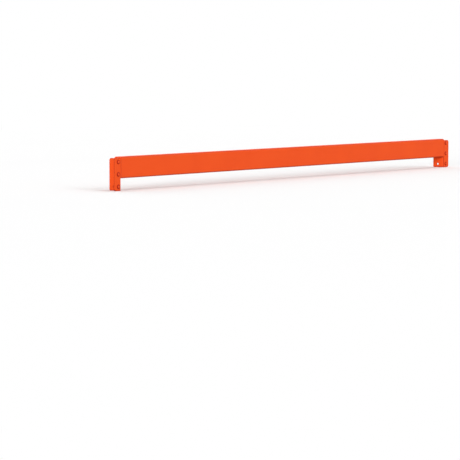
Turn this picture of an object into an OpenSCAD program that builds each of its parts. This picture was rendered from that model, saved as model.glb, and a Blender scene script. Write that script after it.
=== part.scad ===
// Pallet rack beam: a roll-formed step tube with a bent, riveted hook connector
// welded to each end. X runs along the beam, Y from its front face into the rack,
// and Z up. It stands on the lower ends of its two connectors, with the origin
// at the middle of its length and of its depth, on that standing plane.

/* [Beam tube] */
// Length of the tube, which is the clear span between the two connectors
beam_length = 2438.4; // [1200:0.1:3660]
// Height of the front face
beam_height = 88.9; // [82.6:0.1:125]
// Depth of the tube under the step
beam_depth = 60.3; // [54:0.1:76]
// Width of the top face, in front of the step
top_width = 34.9; // [28:0.1:38]
// Drop from the top face to the step that carries decking
step_height = 41.3; // [30:0.1:48]
// Sheet thickness of the tube
tube_wall = 1.9; // [1.4:0.05:2.7]
// Inside radius of the tube's bends
tube_bend = 4.4; // [2.5:0.1:5.5]

/* [Connectors] */
// Plate thickness of the connectors
plate_thickness = 4.76; // [4:0.01:6.4]
// Inside radius of the connectors' bend
plate_bend = 3.2; // [2:0.1:5]
// Width of the front leg, from the beam's end to its free edge
front_leg_width = 43; // [40:0.1:52]
// How far the connector's top lies below the beam's top
connector_drop = 6.35; // [5:0.05:7.5]
// How far the connector hangs below the beam
connector_hang = 50.8; // [48:0.1:70]
// Corner radius at the top of the front leg
front_top_radius = 11; // [3:0.5:12]
// Corner radius at the bottom of the front leg
front_bottom_radius = 12; // [3:0.5:14]
// Corner radius at the top of the side leg
side_top_radius = 10; // [3:0.5:14]
// Corner radius at the bottom of the side leg
side_bottom_radius = 5; // [2:0.5:8]

/* [Safety lock hole] */
// Diameter of the lock hole in the side leg
lock_hole_d = 11.1; // [6:0.1:13]
// Distance from the beam's front face to the lock hole
lock_hole_depth = 35; // [24:0.5:42]
// Height of the lock hole above the connector's lower end
lock_hole_height = 16; // [12:0.5:30]

/* [Hook rivets] */
// Distance between neighbouring rivets, which matches the column's slots
rivet_pitch = 50.8; // [46:0.1:51]
// Distance from the connector's top to the first rivet
first_rivet_drop = 14.3; // [12:0.1:15]
// Distance from the column's side to the rivets' centre line
rivet_setback = 13.5; // [12:0.1:16]
// Diameter of the shank, where it passes through the plate
shank_d = 9.5; // [8:0.1:10.2]
// Radial clearance between the shank and its hole
shank_clearance = 0.05; // [0.02:0.01:0.15]
// Diameter of the neck that bears on the column's slot
neck_d = 11.1; // [10.6:0.1:12.5]
// Length of the neck, which takes the thickness of the column's wall
neck_length = 3.6; // [2.8:0.1:5]
// Diameter of the hook head behind the neck
hook_head_d = 15.9; // [14.5:0.1:18]
// Thickness of the hook head
hook_head_thickness = 4; // [3:0.1:6]
// Chamfer round the hook head's far edge
hook_head_chamfer = 1.2; // [0.4:0.1:1.6]
// Diameter of the formed head on the front
front_head_d = 16.5; // [13:0.1:17]
// Height of the formed head
front_head_height = 3.2; // [2.4:0.1:3.8]
// Height of the formed head's upright rim
front_head_rim = 1.1; // [0.4:0.1:1.4]
// Diameter of the dimple that the forming tool leaves
dimple_d = 6.4; // [3:0.1:7]
// Depth of that dimple
dimple_depth = 1; // [0.3:0.1:1.2]

/* [Welds] */
// Leg of the fillet welds under the beam and behind its top
fillet_leg = 5; // [3:0.1:6]
// Height of the capped welds above the faces that they join
cap_height = 0.9; // [0.4:0.1:1.5]
// Overlap of the capped welds onto each face beside the joint
cap_overlap = 2.2; // [1.5:0.1:3]
// Depth of the groove weld behind the beam's front face
groove_depth = 5; // [4:0.1:6]
// Gap between a weld's ends and the corner or bend beside it
weld_end_gap = 2; // [1:0.1:4]
// Width of the connector's bend that the groove weld leaves bare
bend_run_out = 1.5; // [1:0.1:2.5]

/* [Hidden] */

paint = "#f05827";
weld_paint = "#e04e20";

LEFT = -1;
RIGHT = 1;
UPPER = 0;
MIDDLE = 1;
LOWER = 2;

// Heights above the standing plane
beam_bottom = connector_hang;
beam_top = beam_bottom + beam_height;
step_level = beam_top - step_height;
connector_height = beam_top - connector_drop;

// Outer bend radii
tube_corner = tube_bend + tube_wall;
plate_corner = plate_bend + plate_thickness;

// The connector's front leg is flush with the beam's front face, and its side leg
// ends flush with the beam's back
side_leg_depth = beam_depth;
rivet_offset = plate_thickness + rivet_setback;

// Radius of an arc over a chord, and the arc's rise for its radius
function arc_radius(chord, rise) = (chord * chord / 4 + rise * rise) / (2 * rise);
function arc_rise(radius, chord) = radius - sqrt(radius * radius - chord * chord / 4);

// The formed head's dome, and how far the dimple's edge lies below the dome's crown
dome_radius = arc_radius(front_head_d, front_head_height - front_head_rim);
dimple_radius = arc_radius(dimple_d, dimple_depth);
dimple_edge_drop = arc_rise(dome_radius, dimple_d);

// Overall reach to the front and back of the beam's front face
front_reach = front_head_height - dimple_edge_drop;
back_reach = beam_depth + cap_height;
middle_depth = (back_reach - front_reach) / 2;

// Distance of a fillet weld's centre of curvature outside its corner, as a share of its leg
fillet_centre = 0.6;

// Extra length of cutting tools past the faces that they cut
cut = 1;
$fn = 64;
shallow_arc_fn = 256;

// ---- Shared shapes ----

// Puts the beam's front face at its place in front of the origin
module in_frame() {
  translate([0, -middle_depth, 0]) children();
}

// Puts a right-hand end piece at the end of the beam, or its mirror image at the left
module at_end(side) {
  in_frame()
    mirror([side == LEFT ? 1 : 0, 0, 0])
      translate([beam_length / 2, 0, 0]) children();
}

// Extrudes a profile drawn as (depth, height) along the beam, from x to x + length
module along_x(x, length) {
  translate([x, 0, 0]) rotate([90, 0, 90]) linear_extrude(length) children();
}

// Extrudes a profile drawn as (x, height) from y towards the back
module along_y(y, length) {
  translate([0, y + length, 0]) rotate([90, 0, 0]) linear_extrude(length) children();
}

module rounded_rectangle(low, high, radius) {
  size = high - low;
  translate(low) {
    translate([radius, 0]) square([size.x - 2 * radius, size.y]);
    translate([0, radius]) square([size.x, size.y - 2 * radius]);
    for (x = [radius, size.x - radius], y = [radius, size.y - radius])
      translate([x, y]) circle(radius);
  }
}

// A plate outline from the origin whose two corners on the far side are rounded
module tongue(width, height, low_radius, high_radius) {
  difference() {
    square([width, height]);
    corner_cut(width, 0, low_radius, -1);
    corner_cut(width, height, high_radius, 1);
  }
}

// Cuts a round corner at (x, y), above its centre where way is 1 and below where it is -1
module corner_cut(x, y, radius, way) {
  translate([x - radius, y - way * radius])
    difference() {
      translate([0, way > 0 ? 0 : -radius - cut]) square(radius + cut);
      circle(radius);
    }
}

// ---- Beam tube ----

// The step section, drawn in from its outer face by the given inset
module step_section(inset) {
  convex = tube_corner - inset;
  concave = tube_bend + inset;
  corner = [top_width - inset, step_level - inset];
  rounded_rectangle([inset, beam_bottom + inset], [top_width - inset, beam_top - inset], convex);
  rounded_rectangle([inset, beam_bottom + inset], [beam_depth - inset, step_level - inset], convex);
  translate(corner)
    difference() {
      translate([-cut, -cut]) square(concave + cut);
      translate([concave, concave]) circle(concave);
    }
}

module beam_tube() {
  color(paint)
    in_frame()
      difference() {
        along_x(-beam_length / 2, beam_length) step_section(0);
        along_x(-beam_length / 2 - cut, beam_length + 2 * cut) step_section(tube_wall);
      }
}

// ---- Connectors ----

// Plan of the bent plate, with the beam's end at x = 0 and its front face at y = 0
module angle_plan() {
  translate([plate_corner, 0]) square([front_leg_width - plate_corner, plate_thickness]);
  translate([0, plate_corner]) square([plate_thickness, side_leg_depth - plate_corner]);
  intersection() {
    square(plate_corner);
    translate([plate_corner, plate_corner])
      difference() {
        circle(plate_corner);
        circle(plate_bend);
      }
  }
}

module connector(side) {
  color(paint)
    at_end(side)
      difference() {
        intersection() {
          linear_extrude(connector_height) angle_plan();
          along_y(-cut, side_leg_depth + 2 * cut)
            tongue(front_leg_width, connector_height, front_bottom_radius, front_top_radius);
          along_x(-cut, front_leg_width + 2 * cut)
            tongue(side_leg_depth, connector_height, side_bottom_radius, side_top_radius);
        }
        for (index = [UPPER:LOWER]) rivet_hole(index);
        lock_hole();
      }
}

module rivet_hole(index) {
  translate([rivet_offset, -cut, rivet_height(index)])
    rotate([-90, 0, 0])
      cylinder(d = shank_d + 2 * shank_clearance, h = plate_thickness + 2 * cut);
}

module lock_hole() {
  translate([-cut, lock_hole_depth, lock_hole_height])
    rotate([0, 90, 0])
      cylinder(d = lock_hole_d, h = plate_thickness + 2 * cut);
}

// ---- Hook rivets ----

// Height of a rivet's axis, counted from the top one
function rivet_height(index) = connector_height - first_rivet_drop - index * rivet_pitch;

// Half section of a rivet, with the plate's front face at y = 0 and its back at
// y = plate_thickness: formed head, shank, neck and hook head
module rivet_section() {
  shank_r = shank_d / 2;
  neck_end = plate_thickness + neck_length;
  translate([0, -cut / 2]) square([shank_r, plate_thickness + cut]);
  translate([0, plate_thickness]) square([neck_d / 2, neck_length + cut / 2]);
  hook_head_section(neck_end);
  front_head_section();
}

module hook_head_section(start) {
  head_r = hook_head_d / 2;
  polygon([
    [0, start],
    [head_r, start],
    [head_r, start + hook_head_thickness - hook_head_chamfer],
    [head_r - hook_head_chamfer, start + hook_head_thickness],
    [0, start + hook_head_thickness]
  ]);
}

// A low dome on a short rim, with the forming tool's dimple in its middle
module front_head_section() {
  difference() {
    intersection() {
      translate([0, -front_head_height]) square([front_head_d / 2, front_head_height]);
      translate([0, dome_radius - front_head_height]) circle(dome_radius, $fn = shallow_arc_fn);
    }
    translate([0, dimple_depth - dimple_radius - front_reach]) circle(dimple_radius);
  }
}

module rivet(side, index) {
  color(paint)
    at_end(side)
      translate([rivet_offset, 0, rivet_height(index)])
        rotate([-90, 0, 0]) rotate_extrude() rivet_section();
}

// ---- Welds ----

// A slightly convex fillet in the corner between +x and +y
module fillet_section(leg) {
  centre = -fillet_centre * leg;
  intersection() {
    square(leg);
    translate([centre, centre]) circle(norm([leg - centre, centre]));
  }
}

// The low cap of a weld from x = 0 to the given width, on a face at y = 0
module cap_section(width) {
  radius = arc_radius(width, cap_height);
  intersection() {
    square([width, cap_height]);
    translate([width / 2, cap_height - radius]) circle(radius, $fn = shallow_arc_fn);
  }
}

// Fills the flare between the tube's end and the connector's bend, under a low cap
// where the tube's front is flat
module front_weld(side) {
  groove_width = plate_corner - bend_run_out;
  flat_low = beam_bottom + tube_corner;
  flat_high = min(connector_height, beam_top - tube_corner);
  color(weld_paint)
    at_end(side) {
      translate([-cap_overlap, 0, flat_low])
        linear_extrude(flat_high - flat_low)
          mirror([0, 1]) cap_section(cap_overlap + groove_width);
      intersection() {
        linear_extrude(connector_height)
          difference() {
            square([groove_width, groove_depth]);
            translate([plate_corner, plate_corner]) circle(plate_corner);
          }
        along_x(0, groove_width) step_section(0);
      }
    }
}

// Lies on the side leg's top edge, against the tube's end
module top_weld(side) {
  color(weld_paint)
    at_end(side)
      intersection() {
        along_y(0, top_width)
          translate([0, connector_height])
            intersection() {
              square([plate_thickness, connector_drop]);
              circle(connector_drop - tube_wall / 2);
            }
        along_x(-cut, plate_thickness + 2 * cut) step_section(tube_wall / 2);
      }
}

// Stands in the corner between the riser and the side leg
module riser_weld(side) {
  foot = step_level + tube_bend;
  color(weld_paint)
    at_end(side)
      translate([0, top_width, foot])
        linear_extrude(connector_height - weld_end_gap - foot)
          mirror([1, 0]) fillet_section(fillet_leg);
}

// Runs under the tube, against the side leg
module bottom_weld(side) {
  start = plate_corner;
  color(weld_paint)
    at_end(side)
      translate([0, 0, beam_bottom])
        along_y(start, beam_depth - tube_corner - weld_end_gap - start)
          mirror([1, 0]) mirror([0, 1]) fillet_section(fillet_leg);
}

// Caps the joint between the tube's back and the side leg's edge
module back_weld(side) {
  low = beam_bottom + tube_corner;
  high = step_level - tube_corner;
  color(weld_paint)
    at_end(side)
      translate([-cap_overlap, beam_depth, low])
        linear_extrude(high - low) cap_section(2 * cap_overlap);
}

beam_tube();
connector(LEFT);  // left_connector
connector(RIGHT);  // right_connector
rivet(LEFT, UPPER);  // left_rivet_upper
rivet(LEFT, MIDDLE);  // left_rivet_middle
rivet(LEFT, LOWER);  // left_rivet_lower
rivet(RIGHT, UPPER);  // right_rivet_upper
rivet(RIGHT, MIDDLE);  // right_rivet_middle
rivet(RIGHT, LOWER);  // right_rivet_lower
front_weld(LEFT);  // left_front_weld
top_weld(LEFT);  // left_top_weld
riser_weld(LEFT);  // left_riser_weld
bottom_weld(LEFT);  // left_bottom_weld
back_weld(LEFT);  // left_back_weld
front_weld(RIGHT);  // right_front_weld
top_weld(RIGHT);  // right_top_weld
riser_weld(RIGHT);  // right_riser_weld
bottom_weld(RIGHT);  // right_bottom_weld
back_weld(RIGHT);  // right_back_weld
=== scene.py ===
import math

import bmesh
import bpy
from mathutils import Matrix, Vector


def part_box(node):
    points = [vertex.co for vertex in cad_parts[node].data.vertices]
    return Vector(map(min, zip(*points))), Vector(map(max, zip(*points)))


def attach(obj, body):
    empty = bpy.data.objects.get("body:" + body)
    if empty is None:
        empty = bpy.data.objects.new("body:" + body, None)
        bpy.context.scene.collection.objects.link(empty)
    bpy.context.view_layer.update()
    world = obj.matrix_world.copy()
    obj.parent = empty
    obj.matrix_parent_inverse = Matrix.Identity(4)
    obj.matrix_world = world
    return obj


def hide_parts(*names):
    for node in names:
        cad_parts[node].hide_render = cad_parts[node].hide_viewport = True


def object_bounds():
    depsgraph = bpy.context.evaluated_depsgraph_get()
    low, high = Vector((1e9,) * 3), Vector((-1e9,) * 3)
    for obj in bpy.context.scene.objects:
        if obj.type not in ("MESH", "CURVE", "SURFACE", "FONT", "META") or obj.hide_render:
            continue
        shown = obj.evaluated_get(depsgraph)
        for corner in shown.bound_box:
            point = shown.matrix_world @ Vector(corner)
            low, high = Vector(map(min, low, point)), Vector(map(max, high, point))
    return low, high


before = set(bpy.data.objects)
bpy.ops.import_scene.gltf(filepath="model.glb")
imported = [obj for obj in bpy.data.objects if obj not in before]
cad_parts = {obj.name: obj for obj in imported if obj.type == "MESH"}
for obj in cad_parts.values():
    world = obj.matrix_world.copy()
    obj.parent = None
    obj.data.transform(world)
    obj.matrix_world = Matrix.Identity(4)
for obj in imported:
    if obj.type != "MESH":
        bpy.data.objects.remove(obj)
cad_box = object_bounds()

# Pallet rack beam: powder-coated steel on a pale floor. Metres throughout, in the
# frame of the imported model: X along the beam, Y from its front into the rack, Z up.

MM = 0.001
BEAM_LOW, BEAM_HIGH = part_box("beam_tube")

# ---- Camera, on the drawing's line of sight ----
VIEW_AZIMUTH = math.radians(-52.10)
VIEW_ELEVATION = math.radians(4.43)
VIEW_AIM = Vector((-0.457, 0.0, -0.209))
VIEW_DISTANCE = 10.104
VIEW_LENS = 180.85
CLIP_NEAR = 0.1
CLIP_FAR = 400.0

# ---- Light ----
WHITE = (1.0, 1.0, 1.0, 1.0)
WORLD_LIGHT = 0.35
# A sun's spread is its width in the sky, in degrees
SUNS = {
    "key": {"energy": 1.06, "spread": 35, "from": Vector((0.10, -0.85, 0.50))},
    "fill": {"energy": 2.15, "spread": 16, "from": Vector((-0.95, -0.30, 0.10))},
    "top": {"energy": 1.45, "spread": 70, "from": Vector((0.50, -0.05, 0.86))},
    "back": {"energy": 1.20, "spread": 60, "from": Vector((0.25, 0.90, 0.35))},
}

# ---- Floor ----
FLOOR_RADIUS = 60.0
FLOOR_SIDES = 96
# Its paleness to the camera, and to the light that it throws back on the beam
FLOOR_SHOWN = 0.885
FLOOR_BOUNCE = 0.40
# Between these distances it turns from lit floor to plain white
FLOOR_LIT = 2.0
FLOOR_PLAIN = 7.0

# ---- Powder coat, in linear colours, with colours for painted shade and a painted highlight ----
ORANGE = (0.895, 0.090, 0.014)
ORANGE_LIGHT = (0.925, 0.099, 0.016)
# The deep tone is the welds' own and a painted shade on the rivet heads; the recess and
# edge tones are painted shade; the dimple's tone is a painted highlight
ORANGE_DEEP = (0.640, 0.040, 0.008)
ORANGE_PAINTED_SHADE = (0.400, 0.016, 0.006)
ORANGE_PAINTED_EDGE_SHADE = (0.380, 0.016, 0.006)
ORANGE_PAINTED_HIGHLIGHT = (0.930, 0.150, 0.050)
PAINT_SPECULAR = 0.08
PAINT_ROUGHNESS = (0.48, 0.56)

# ---- Noise textures, each with its scale and detail ----
DRIFT_NOISE = (9.0, 3.0)
PEEL_NOISE = (420.0, 1.0)
GRAIN_NOISE = (160.0, 2.0)
FORMING_NOISE = (12.0, 2.0)
# Where nearly all of a noise texture's values lie
NOISE_RANGE = (0.3, 0.7)
PEEL_HEIGHT = 0.02 * MM
GRAIN_HEIGHT = 0.03 * MM
FORMING_HEIGHT = 0.015 * MM
FORMING_ROUGHNESS = 0.05
# Sizes along X, Y and Z of one unit of the texture, which make its lines run along X
FORMING_STRETCH = (4.0, 0.02, 0.02)

# ---- Painted shade, from the value where each starts to that of its full strength ----
# Ambient occlusion
RECESS_RANGE = (0.95, 0.35)
# Agreement of a surface with its rounded copy
EDGE_RANGE = (0.98, 0.80)
# Largest part of a normal along one axis
BEND_RANGE = (0.98, 0.72)
RECESS_SAMPLES = 8
EDGE_SAMPLES = 6

# ---- Forms that the frame's boxes don't give, as they are in the part ----
PLATE_CORNER = 7.96 * MM
TUBE_CORNER = 6.3 * MM
RIVET_HEAD_D = 16.5 * MM
DIMPLE_D = 6.4 * MM

# ---- Rivets' painted shade and highlight, by the distance from the rivet's axis ----
# Width of the painted shade on the plate, in the crevice round a formed head
PAINTED_SHADE_RING_WIDTH = 2.4 * MM
# On the head: where each colour starts, where it is full, and the colour; the first two
# are painted shade over the dome and at its rim, the last a painted highlight in the
# dimple
HEAD_SHADE_AND_HIGHLIGHT = (
    (0.50 * DIMPLE_D, 0.32 * RIVET_HEAD_D, ORANGE_DEEP),
    (0.34 * RIVET_HEAD_D, 0.48 * RIVET_HEAD_D, ORANGE_PAINTED_SHADE),
    (0.55 * DIMPLE_D, 0.40 * DIMPLE_D, ORANGE_PAINTED_HIGHLIGHT),
)
# How far behind the plate's front a point still counts as on it
FRONT_MARGIN = 0.1 * MM

# ---- Weld beads ----
RIGHT, LEFT = 1, -1
RIPPLE_PITCH = 1.9 * MM
RIPPLE_DEPTH = 0.30 * MM
# The ripples' mean depth and its change along the bead, as shares of RIPPLE_DEPTH
RIPPLE_MEAN = 0.8
RIPPLE_CHANGE = 0.2
# The narrower the valleys are against the crests, the larger this is
RIPPLE_NARROWNESS = 2.5
# How far a ripple bows along the bead, from its middle to its toes
RIPPLE_BOW = 2.1 * MM
# How far the ripples stray from an even pitch in a slow wave, and a quick wave's share
RIPPLE_WANDER = 0.45 * MM
QUICK_SHARE = 0.6
# The two waves' lengths over 2 pi
WANDER_SLOW = 5.3 * MM
WANDER_QUICK = 2.1 * MM
# Stations to each ripple along a bead, fewest in all, and steps across it
RIPPLE_STEPS = 9
FEWEST_STATIONS = 8
BEAD_ACROSS = 14
# Steps down the connector's bend, into the flare
FLARE_STEPS = 5
# Distance of a fillet's centre of curvature outside its corner, as a share of its leg
FILLET_CENTRE = 0.6
# Share of its section that a bead still has at its very end
END_FILL = 0.06
MERGE_DISTANCE = 0.002 * MM
SHARP_ANGLE = math.radians(48)


# ---- Camera ----

def build_camera():
    """Looks at the beam from its front left, a little above it."""
    back = Vector((
        math.sin(VIEW_AZIMUTH) * math.cos(VIEW_ELEVATION),
        -math.cos(VIEW_AZIMUTH) * math.cos(VIEW_ELEVATION),
        math.sin(VIEW_ELEVATION),
    ))
    data = bpy.data.cameras.new("camera")
    data.lens = VIEW_LENS
    data.clip_start = CLIP_NEAR
    data.clip_end = CLIP_FAR
    camera = bpy.data.objects.new("camera", data)
    camera.location = VIEW_AIM + back * VIEW_DISTANCE
    camera.rotation_euler = (-back).to_track_quat("-Z", "Y").to_euler()
    bpy.context.scene.collection.objects.link(camera)
    bpy.context.scene.camera = camera


# ---- Node helpers ----

def connect(tree, socket, value):
    """Gives a socket a value, or a link where the value is another node's socket."""
    if isinstance(value, bpy.types.NodeSocket):
        tree.links.new(value, socket)
    else:
        socket.default_value = value


def add_node(tree, kind, **inputs):
    """A new node, with its sockets set by name. An underscore stands for a space."""
    made = tree.nodes.new(kind)
    for name, value in inputs.items():
        connect(tree, made.inputs[name.replace("_", " ")], value)
    return made


def compute(tree, operation, *values):
    """The result of a Math node on values or sockets."""
    made = tree.nodes.new("ShaderNodeMath")
    made.operation = operation
    for socket, value in zip(made.inputs, values):
        connect(tree, socket, value)
    return made.outputs[0]


def vector(tree, operation, *values):
    """The vector, or for DOT_PRODUCT and LENGTH the number, from a Vector Math node."""
    made = tree.nodes.new("ShaderNodeVectorMath")
    made.operation = operation
    for socket, value in zip(made.inputs, values):
        connect(tree, socket, value)
    return made.outputs["Value" if operation in ("DOT_PRODUCT", "LENGTH") else "Vector"]


def ramp(tree, value, low, high, to_low=0.0, to_high=1.0):
    """value from low..high to to_low..to_high, held at the ends."""
    made = add_node(tree, "ShaderNodeMapRange", Value=value, From_Min=low,
                    From_Max=high, To_Min=to_low, To_Max=to_high)
    return made.outputs["Result"]


def blend_colour(tree, amount, first, second):
    """A colour between two, each of them a socket or its red, green and blue."""
    made = tree.nodes.new("ShaderNodeMix")
    made.data_type = "RGBA"
    connect(tree, made.inputs["Factor"], amount)
    for name, colour in (("A", first), ("B", second)):
        linked = isinstance(colour, bpy.types.NodeSocket)
        connect(tree, made.inputs[name], colour if linked else (*colour, 1.0))
    return made.outputs["Result"]


def mix_shaders(tree, amount, first, second):
    """The first shader at 0, and the second at 1."""
    made = tree.nodes.new("ShaderNodeMixShader")
    for socket, value in zip(made.inputs, (amount, first, second)):
        connect(tree, socket, value)
    return made.outputs[0]


def seen_ray(tree):
    """1 for camera, glossy and transmission rays, which see the white background."""
    rays = tree.nodes.new("ShaderNodeLightPath").outputs
    total = compute(tree, "ADD", rays["Is Camera Ray"], rays["Is Glossy Ray"])
    total = compute(tree, "ADD", total, rays["Is Transmission Ray"])
    return compute(tree, "MINIMUM", total, 1.0)


# ---- Studio ----

def build_world():
    """Plain white where it is seen, and a weaker, even light on the beam."""
    world = bpy.data.worlds.new("studio")
    bpy.context.scene.world = world
    world.use_nodes = True
    tree = world.node_tree
    tree.nodes.clear()
    light = add_node(tree, "ShaderNodeBackground", Color=WHITE, Strength=WORLD_LIGHT)
    white = add_node(tree, "ShaderNodeBackground", Color=WHITE, Strength=1.0)
    shown = mix_shaders(tree, seen_ray(tree), light.outputs[0], white.outputs[0])
    add_node(tree, "ShaderNodeOutputWorld", Surface=shown)


def build_suns():
    for name, sun in SUNS.items():
        data = bpy.data.lights.new(name, "SUN")
        data.energy = sun["energy"]
        data.angle = math.radians(sun["spread"])
        lamp = bpy.data.objects.new(name, data)
        lamp.rotation_euler = sun["from"].to_track_quat("Z", "Y").to_euler()
        bpy.context.scene.collection.objects.link(lamp)


def grey(level):
    return (level, level, level, 1.0)


def floor_material():
    """Matt and pale, and plain white a few metres out, so that no horizon shows."""
    material = bpy.data.materials.new("floor")
    material.use_nodes = True
    tree = material.node_tree
    tree.nodes.clear()
    place = tree.nodes.new("ShaderNodeNewGeometry").outputs["Position"]
    far = ramp(tree, vector(tree, "LENGTH", place), FLOOR_LIT, FLOOR_PLAIN)
    shown = add_node(tree, "ShaderNodeBsdfDiffuse", Color=grey(FLOOR_SHOWN))
    white = add_node(tree, "ShaderNodeEmission", Color=WHITE, Strength=1.0)
    bounce = add_node(tree, "ShaderNodeBsdfDiffuse", Color=grey(FLOOR_BOUNCE))
    near_far = mix_shaders(tree, far, shown.outputs[0], white.outputs[0])
    by_ray = mix_shaders(tree, seen_ray(tree), bounce.outputs[0], near_far)
    add_node(tree, "ShaderNodeOutputMaterial", Surface=by_ray)
    return material


def build_floor():
    """A disc under the beam's lowest point."""
    level = cad_box[0].z
    turns = [2 * math.pi * i / FLOOR_SIDES for i in range(FLOOR_SIDES)]
    reach = FLOOR_RADIUS
    rim = [(reach * math.cos(turn), reach * math.sin(turn), level) for turn in turns]
    mesh = bpy.data.meshes.new("floor")
    mesh.from_pydata(rim, [], [list(range(FLOOR_SIDES))])
    mesh.materials.append(floor_material())
    floor = bpy.data.objects.new("floor", mesh)
    bpy.context.scene.collection.objects.link(floor)


# ---- Finish ----

class Paint:
    """Satin powder coat. Each part's own marks, painted shade and painted highlight are
    added before done().
    """

    def __init__(self, name):
        self.material = bpy.data.materials.new(name)
        self.material.use_nodes = True
        self.tree = self.material.node_tree
        self.shader = self.tree.nodes["Principled BSDF"]
        geometry = self.tree.nodes.new("ShaderNodeNewGeometry")
        self.place = geometry.outputs["Position"]
        self.facing = geometry.outputs["Normal"]
        drift = self.noise(self.place, DRIFT_NOISE)
        share = ramp(self.tree, drift, *NOISE_RANGE)
        self.colour = blend_colour(self.tree, share, ORANGE, ORANGE_LIGHT)
        self.roughness = ramp(self.tree, drift, *NOISE_RANGE, *PAINT_ROUGHNESS)
        peel = self.noise(self.place, PEEL_NOISE)
        self.height = compute(self.tree, "MULTIPLY", peel, PEEL_HEIGHT)

    def noise(self, place, texture):
        scale, detail = texture
        made = add_node(self.tree, "ShaderNodeTexNoise", Vector=place, Scale=scale,
                        Detail=detail)
        return made.outputs["Fac"]

    def tint(self, amount, colour):
        self.colour = blend_colour(self.tree, amount, self.colour, colour)

    def roughen(self, amount, by):
        extra = compute(self.tree, "MULTIPLY", amount, by)
        self.roughness = compute(self.tree, "ADD", self.roughness, extra)

    def raise_by(self, amount, height):
        extra = compute(self.tree, "MULTIPLY", amount, height)
        self.height = compute(self.tree, "ADD", self.height, extra)

    def paint_recess_shade(self, reach, strength):
        """Painted shade: a deeper tone where two pieces meet, from ambient occlusion."""
        made = add_node(self.tree, "ShaderNodeAmbientOcclusion", Distance=reach)
        made.samples = RECESS_SAMPLES
        closed = ramp(self.tree, made.outputs["AO"], *RECESS_RANGE)
        self.tint(compute(self.tree, "MULTIPLY", closed, strength), ORANGE_PAINTED_SHADE)

    def paint_edge_shade(self, reach):
        """Painted shade: a deeper tone along sharp edges."""
        soft = add_node(self.tree, "ShaderNodeBevel", Radius=reach)
        soft.samples = EDGE_SAMPLES
        level = vector(self.tree, "DOT_PRODUCT", self.facing, soft.outputs[0])
        self.tint(ramp(self.tree, level, *EDGE_RANGE), ORANGE_PAINTED_EDGE_SHADE)

    def paint_bend_shade(self, strength):
        """Painted shade: a deeper tone over bends, which face between the axes."""
        parts = self.tree.nodes.new("ShaderNodeSeparateXYZ")
        connect(self.tree, parts.inputs[0], vector(self.tree, "ABSOLUTE", self.facing))
        most = compute(self.tree, "MAXIMUM", parts.outputs[0], parts.outputs[1])
        most = compute(self.tree, "MAXIMUM", most, parts.outputs[2])
        shade_on_bends = ramp(self.tree, most, *BEND_RANGE)
        self.tint(compute(self.tree, "MULTIPLY", shade_on_bends, strength), ORANGE_PAINTED_EDGE_SHADE)

    def done(self):
        bump = add_node(self.tree, "ShaderNodeBump", Height=self.height, Strength=1.0,
                        Distance=1.0)
        connect(self.tree, self.shader.inputs["Base Color"], self.colour)
        connect(self.tree, self.shader.inputs["Roughness"], self.roughness)
        connect(self.tree, self.shader.inputs["Normal"], bump.outputs[0])
        self.shader.inputs["Specular IOR Level"].default_value = PAINT_SPECULAR
        return self.material


def tube_paint():
    """Faint lines run along the tube from its forming rolls."""
    paint = Paint("tube_paint")
    stretched = vector(paint.tree, "DIVIDE", paint.place, FORMING_STRETCH)
    lines = paint.noise(stretched, FORMING_NOISE)
    paint.roughen(ramp(paint.tree, lines, *NOISE_RANGE), FORMING_ROUGHNESS)
    paint.raise_by(lines, FORMING_HEIGHT)
    # Painted shade over the tube's bends and in the corners where it meets other pieces
    paint.paint_bend_shade(strength=0.9)
    paint.paint_recess_shade(reach=6 * MM, strength=0.6)
    return paint.done()


def rivet_distance(paint):
    """How far a point lies from the nearest rivet's axis, in the plates' plane.

    The left rivets mirror the right ones, so the point is taken without its sign."""
    tree = paint.tree
    place = vector(tree, "ABSOLUTE", paint.place)
    place = vector(tree, "MULTIPLY", place, (1.0, 0.0, 1.0))
    nearest = None
    for level in ("upper", "middle", "lower"):
        low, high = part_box(f"right_rivet_{level}")
        axis = (low + high) / 2
        away = vector(tree, "SUBTRACT", place, (axis.x, 0.0, axis.z))
        distance = vector(tree, "LENGTH", away)
        nearest = compute(tree, "MINIMUM", nearest, distance) if nearest else distance
    return nearest


def at_front(paint):
    """1 on the plates' front and on what stands before it, and 0 behind it."""
    parts = add_node(paint.tree, "ShaderNodeSeparateXYZ", Vector=paint.place)
    limit = BEAM_LOW.y + FRONT_MARGIN
    return compute(paint.tree, "LESS_THAN", parts.outputs[1], limit)


def plate_paint():
    """Painted shade on the bends, in the corners, along the sheared edges and in the
    crevice round each formed head.
    """
    paint = Paint("plate_paint")
    paint.raise_by(paint.noise(paint.place, GRAIN_NOISE), GRAIN_HEIGHT)
    paint.paint_bend_shade(strength=0.8)
    paint.paint_recess_shade(reach=7 * MM, strength=1.0)
    paint.paint_edge_shade(reach=3.4 * MM)
    # Painted shade in the crevice round each formed head, on the plates' front only
    rim = RIVET_HEAD_D / 2
    crevice = ramp(paint.tree, rivet_distance(paint), rim + PAINTED_SHADE_RING_WIDTH, rim)
    paint.tint(compute(paint.tree, "MULTIPLY", crevice, at_front(paint)), ORANGE_PAINTED_SHADE)
    return paint.done()


def rivet_paint():
    """Painted shade deepens the formed head towards its rim and at its foot, round a
    painted highlight in its dimple.
    """
    paint = Paint("rivet_paint")
    distance = rivet_distance(paint)
    front = at_front(paint)
    # Painted shade over the dome and rim, and a painted highlight in the dimple, on the
    # heads at the front only
    for start, full, colour in HEAD_SHADE_AND_HIGHLIGHT:
        share = ramp(paint.tree, distance, start, full)
        paint.tint(compute(paint.tree, "MULTIPLY", share, front), colour)
    paint.paint_recess_shade(reach=4 * MM, strength=0.6)
    return paint.done()


def weld_paint():
    paint = Paint("weld_paint")
    paint.tint(amount=0.25, colour=ORANGE_DEEP)
    # Painted shade where the bead meets the parts
    paint.paint_recess_shade(reach=1.5 * MM, strength=0.7)
    return paint.done()


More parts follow.
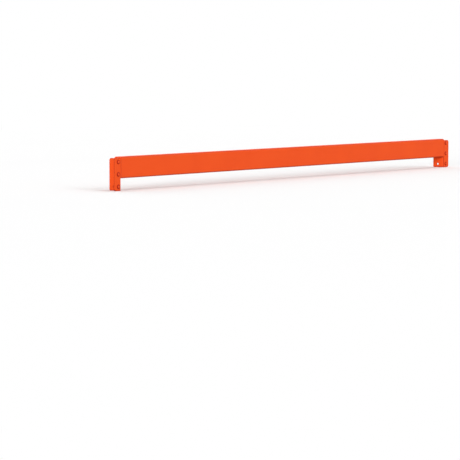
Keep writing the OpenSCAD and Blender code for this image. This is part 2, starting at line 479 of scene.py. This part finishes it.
def paint_nodes():
    tube, plate, rivet = tube_paint(), plate_paint(), rivet_paint()
    for name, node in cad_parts.items():
        paint = rivet if "rivet" in name else plate if "connector" in name else tube
        node.data.materials.clear()
        node.data.materials.append(paint)


# ---- Weld beads ----

def ripple(run, across):
    """The scallops' height on a bead, from -1 in the deepest valley to 0 on a crest.

    They come a little unevenly, as from a hand-held torch."""
    slow = math.sin(run / WANDER_SLOW)
    quick = math.sin(run / WANDER_QUICK)
    place = run + RIPPLE_WANDER * (slow + QUICK_SHARE * quick)
    place += RIPPLE_BOW * across * across
    share = RIPPLE_MEAN - RIPPLE_CHANGE * slow
    from_crest = abs(2.0 * (place / RIPPLE_PITCH % 1.0) - 1.0)
    return -share * from_crest ** RIPPLE_NARROWNESS


def round_end(distance, reach):
    """How much of its section a bead has at a distance from its end."""
    left = max(0.0, 1.0 - distance / reach)
    return max(END_FILL, math.sqrt(1.0 - left * left))


def stations(start, end):
    """Places along a bead, several to each ripple."""
    count = max(FEWEST_STATIONS, round((end - start) / RIPPLE_PITCH * RIPPLE_STEPS))
    return [start + (end - start) * i / count for i in range(count + 1)]


def across_bead():
    """Places across a bead, from -1 at one toe to 1 at the other."""
    return [2.0 * i / BEAD_ACROSS - 1.0 for i in range(BEAD_ACROSS + 1)]


def fillet_ring(leg, run, fill):
    """A fillet's section from toe to toe, and its corner, along its two faces."""
    centre = -FILLET_CENTRE * leg
    radius = math.hypot(leg - centre, centre)
    first = math.atan2(-centre, leg - centre)
    ring = []
    for across in across_bead():
        angle = math.pi / 4 + across * (math.pi / 4 - first)
        reach = radius + RIPPLE_DEPTH * ripple(run, across)
        point = (centre + reach * math.cos(angle), centre + reach * math.sin(angle))
        ring.append(tuple(max(0.0, fill * c) for c in point))
    return ring + [(0.0, 0.0)]


def cap_ring(width, height, run, fill):
    """A low cap's section from toe to toe, as (across from the middle, height)."""
    radius = (width * width / 4 + height * height) / (2 * height)
    ring = []
    for across in across_bead():
        offset = across * width / 2
        crown = height - radius + math.sqrt(radius * radius - offset * offset)
        crown += RIPPLE_DEPTH * ripple(run, across) * (1.0 - across * across)
        ring.append((fill * offset, max(0.0, fill * crown)))
    return ring + [(0.0, 0.0)]


def end_box(side, node):
    """A node's box, outward from the beam's end, back from its front, and up."""
    low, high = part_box(node)
    outward = sorted(side * corner.x - BEAM_HIGH.x for corner in (low, high))
    return (
        Vector((outward[0], low.y - BEAM_LOW.y, low.z)),
        Vector((outward[1], high.y - BEAM_LOW.y, high.z)),
    )


def end_point(side, x, y, z):
    """The point x outward from the beam's end, y behind its front, and z up."""
    return (side * (BEAM_HIGH.x + x), BEAM_LOW.y + y, z)


def riser_rings(side, low, high):
    """Upright, in the corner between the riser and the side leg."""
    leg = high.y - low.y
    rings = []
    for z in stations(low.z, high.z):
        section = fillet_ring(leg, z, round_end(min(z - low.z, high.z - z), leg))
        rings.append([end_point(side, -a, low.y + b, z) for a, b in section])
    return rings


def bottom_rings(side, low, high):
    """Under the tube, against the side leg."""
    leg = high.z - low.z
    rings = []
    for y in stations(low.y, high.y):
        section = fillet_ring(leg, y, round_end(min(y - low.y, high.y - y), leg))
        rings.append([end_point(side, -a, y, high.z - b) for a, b in section])
    return rings


def back_rings(side, low, high):
    """Over the joint between the tube's back and the side leg's edge."""
    width = high.x - low.x
    rings = []
    for z in stations(low.z, high.z):
        fill = round_end(min(z - low.z, high.z - z), width / 2)
        section = cap_ring(width, high.y - low.y, z, fill)
        rings.append([end_point(side, a, low.y + b, z) for a, b in section])
    return rings


def bend_x(depth):
    """How far outward the connector's bend lies, at a depth behind its front."""
    left = PLATE_CORNER - min(depth, PLATE_CORNER)
    return PLATE_CORNER - math.sqrt(PLATE_CORNER ** 2 - left ** 2)


def front_rings(side, low, high):
    """Fills the flare between the tube's end and the connector's bend."""
    flat_low = BEAM_LOW.z + TUBE_CORNER
    overlap, crown = -low.x, -low.y
    rings = []
    for z in stations(low.z, high.z):
        below = max(0.0, flat_low - z)
        face = TUBE_CORNER - math.sqrt(TUBE_CORNER ** 2 - below ** 2)
        fill = round_end(min(max(0.0, z - flat_low), high.z - z), 2 * overlap)
        toes = -fill * overlap, min(high.x, bend_x(face) if below else high.x)
        section = cap_ring(toes[1] - toes[0], fill * crown, z, fill=1.0)[:-1]
        middle = sum(toes) / 2
        ring = [(middle + a, face - b) for a, b in section]
        depths = [max(face, i * high.y / FLARE_STEPS) for i in range(FLARE_STEPS + 1)]
        ring += [(min(high.x, bend_x(depth)), depth) for depth in depths]
        ring += [(0.0, high.y), (0.0, face)]
        rings.append([end_point(side, x, y, z) for x, y in ring])
    return rings


def top_rings(side, low, high):
    """On the side leg's top edge, against the tube's end."""
    full = high.z - low.z
    corner = TUBE_CORNER - low.y
    rings = []
    for y in stations(low.y, high.y):
        past = max(0.0, low.y + corner - y, y - high.y + corner)
        rise = full - corner + math.sqrt(max(0.0, corner ** 2 - past ** 2))
        ring = []
        for across in across_bead():
            angle = math.pi / 4 * (1.0 + across)
            reach = full + RIPPLE_DEPTH * ripple(y, across)
            outward = min(high.x, reach * math.cos(angle))
            ring.append((outward, reach * math.sin(angle) * rise / full))
        ring.append((0.0, 0.0))
        rings.append([end_point(side, x, y, low.z + z) for x, z in ring])
    return rings


BEADS = {
    "front": front_rings,
    "top": top_rings,
    "riser": riser_rings,
    "bottom": bottom_rings,
    "back": back_rings,
}


def bead_mesh(name, rings):
    """Joins equal rings of points into a closed mesh."""
    size = len(rings[0])
    points = [p for ring in rings for p in ring]
    faces = []
    for r in range(len(rings) - 1):
        for i in range(size):
            j = (i + 1) % size
            a, b = r * size, (r + 1) * size
            faces.append((a + i, a + j, b + j, b + i))
    faces.append(tuple(range(size)))
    faces.append(tuple(range(len(points) - size, len(points))))
    mesh = bpy.data.meshes.new(name)
    mesh.from_pydata(points, [], faces)
    work = bmesh.new()
    work.from_mesh(mesh)
    bmesh.ops.remove_doubles(work, verts=work.verts, dist=MERGE_DISTANCE)
    bmesh.ops.recalc_face_normals(work, faces=work.faces)
    bmesh.ops.triangulate(work, faces=[f for f in work.faces if len(f.verts) > 4])
    work.to_mesh(mesh)
    work.free()
    mesh.shade_smooth()
    mesh.set_sharp_from_angle(angle=SHARP_ANGLE)
    return mesh


def build_beads():
    """Each weld's node gives way to a rippled bead in the same box."""
    paint = weld_paint()
    for side, side_name in ((LEFT, "left"), (RIGHT, "right")):
        for kind, rings in BEADS.items():
            node = f"{side_name}_{kind}_weld"
            mesh = bead_mesh(node + "_bead", rings(side, *end_box(side, node)))
            mesh.materials.append(paint)
            bead = bpy.data.objects.new(node + "_bead", mesh)
            bpy.context.scene.collection.objects.link(bead)
            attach(bead, "root")
            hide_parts(node)


# ---- Build ----


bpy.context.scene.view_settings.view_transform = "Standard"
build_camera()
build_world()
build_suns()
build_floor()
paint_nodes()
build_beads()
